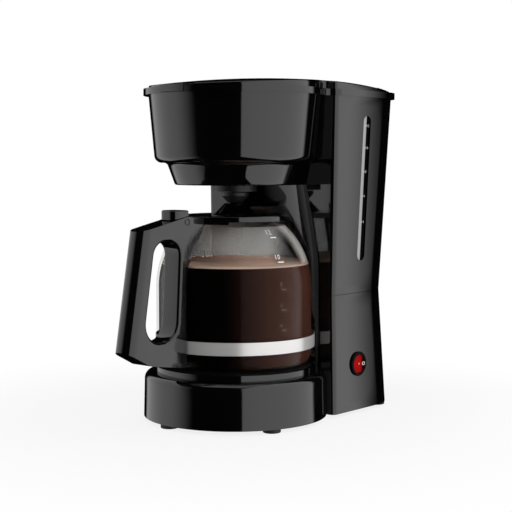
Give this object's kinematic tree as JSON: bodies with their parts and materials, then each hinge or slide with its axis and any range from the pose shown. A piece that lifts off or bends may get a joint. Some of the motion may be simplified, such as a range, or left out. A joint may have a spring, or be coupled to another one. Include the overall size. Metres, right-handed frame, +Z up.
{
  "type": "drip coffee maker",
  "caption": "Drip coffee maker: tower with water tank and level window, drum-shaped brew head with hinged lid, round base with warming plate and lit switch, and a glass carafe with a handle.",
  "frame": {"origin": "middle of the part's footprint, on the counter", "axes": "+Z up, -Y towards the front with the carafe handle, +X to the side with the window and the switch"},
  "size_m": [0.1688, 0.3136, 0.312],
  "materials": {
    "black_gloss": "glossy black moulding",
    "black_matte": "satin black moulding",
    "steel": "plain steel",
    "silicone": "milky silicone",
    "foot_rubber": "dull black rubber",
    "tank_plastic": "natural polypropylene",
    "aluminium": "plain",
    "fuse_metal": "plain",
    "plate_coating": "dark non-stick coating",
    "carafe_glass": "clear",
    "window_clear": "clear moulding",
    "band_steel": "polished",
    "rocker_red": "translucent red, lit"
  },
  "bodies": {
    "machine": {"base_cover": "black_matte", "base_housing": "black_gloss", "brew_basket": "black_matte", "brew_head": "black_gloss", "check_valve_body": "black_matte", "clamp_screw_1": "steel", "clamp_screw_2": "steel", "cord_gland": "black_matte", "cover_screw_1": "steel", "cover_screw_2": "steel", "cover_screw_3": "steel", "cover_screw_4": "steel", "drip_valve_spring": "steel", "foot_1": "foot_rubber", "foot_2": "foot_rubber", "foot_3": "foot_rubber", "foot_4": "foot_rubber", "foot_5": "foot_rubber", "heater_clamp": "aluminium", "heater_element": "aluminium", "hose_clip_1": "steel", "hose_clip_2": "steel", "hose_clip_3": "steel", "hose_clip_4": "steel", "inlet_hose": "silicone", "level_window": "window_clear", "lid_hinge_pin": "steel", "outlet_hose": "silicone", "plate_seal": "silicone", "rear_deck": "black_gloss", "reservoir_tank": "tank_plastic", "riser_grommet": "silicone", "riser_pipe": "aluminium", "switch_bezel": "black_gloss", "tank_outlet_seal": "silicone", "thermal_fuse": "fuse_metal", "thermostat": "aluminium", "top_deck": "black_gloss", "upper_housing": "black_gloss", "warming_plate": "plate_coating"},
    "lid": {"lid": "black_gloss", "spreader": "black_matte"},
    "carafe": {"carafe_glass": "carafe_glass", "carafe_band": "band_steel", "carafe_handle": "black_gloss", "handle_screw": "steel", "carafe_lid": "black_gloss", "carafe_lid_pin": "black_gloss"},
    "drip_valve": {"drip_valve_stem": "black_matte", "drip_valve_seal": "silicone"},
    "rocker": {"switch_rocker": "rocker_red"},
    "check_ball": {"check_ball": "steel"}
  },
  "joints": [
    {"name": "lid_hinge", "type": "hinge", "parent": "machine", "child": "lid", "pos_m": [0, 0.12483, 0.30415], "axis": [-1, 0, 0], "range_deg": [0, 100]},
    {"name": "carafe_slide", "type": "slide", "parent": "machine", "child": "carafe", "axis": [0, -1, 0], "range_m": [0, 0.26]},
    {"name": "switch_rock", "type": "hinge", "parent": "machine", "child": "rocker", "pos_m": [0.07671, 0.07683, 0.0469], "axis": [0, 0, 1], "range_deg": [0, 16]},
    {"name": "drip_valve_lift", "type": "slide", "parent": "machine", "child": "drip_valve", "axis": [0, 0, 1], "range_m": [0, 0.0035], "stiffness_N_per_m": 150, "springref_m": -0.004, "deforming": ["drip_valve_spring"]},
    {"name": "check_ball_lift", "type": "slide", "parent": "machine", "child": "check_ball", "axis": [0, 0, 1], "range_m": [0, 0.002]}
  ]
}
